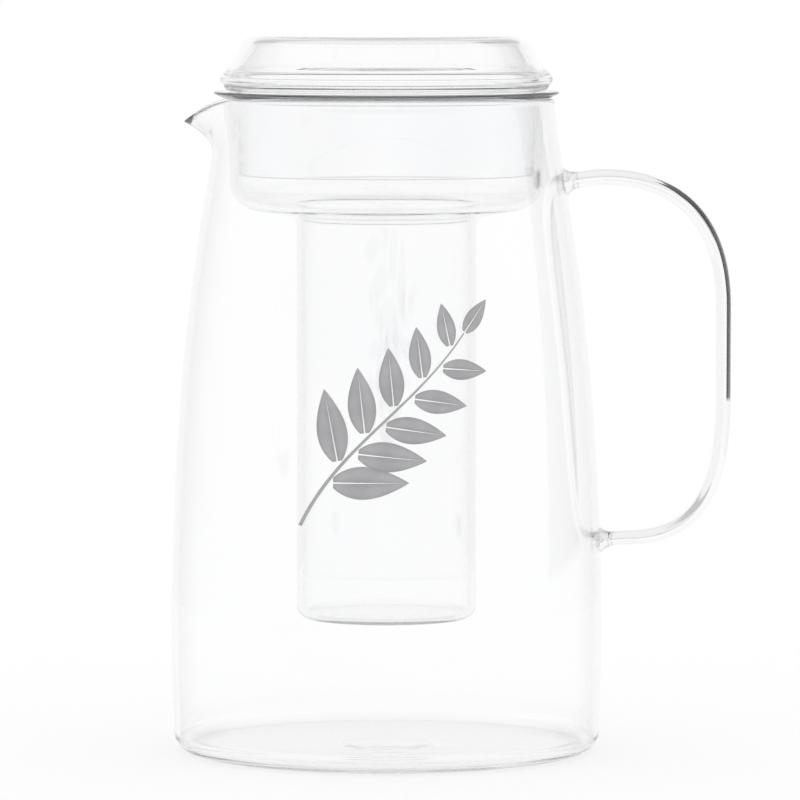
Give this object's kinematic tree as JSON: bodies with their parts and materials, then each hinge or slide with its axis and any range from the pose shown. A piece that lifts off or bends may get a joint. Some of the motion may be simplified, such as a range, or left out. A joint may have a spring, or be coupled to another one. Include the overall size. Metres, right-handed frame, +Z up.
{
  "type": "carafe with ice tube",
  "caption": "Tall clear glass jug with a pulled pouring lip and strap handle, a flanged glass ice tube that hangs in its mouth, and a hollow glass plug lid.",
  "frame": {"origin": "centre of the jug's flat base, on the axis of the jug", "axes": "+Z up along the jug's axis, +X towards the handle, -X towards the pouring lip"},
  "size_m": [0.1954, 0.1504, 0.25],
  "materials": {
    "jug_glass": "clear blown glass, fire-polished rim",
    "handle_glass": "clear solid glass strap, welded on",
    "insert_glass": "clear drawn glass, fire-polished flange",
    "lid_glass": "clear blown glass"
  },
  "bodies": {
    "jug": {"jug_body": "jug_glass", "handle": "handle_glass"},
    "insert": {"ice_tube": "insert_glass"},
    "cover": {"lid": "lid_glass"}
  },
  "joints": [
    {"name": "ice_tube_lift", "type": "slide", "parent": "jug", "child": "insert", "axis": [0, 0, 1], "range_m": [0, 0.2]},
    {"name": "lid_lift", "type": "slide", "parent": "insert", "child": "cover", "axis": [0, 0, 1], "range_m": [0, 0.06]}
  ]
}
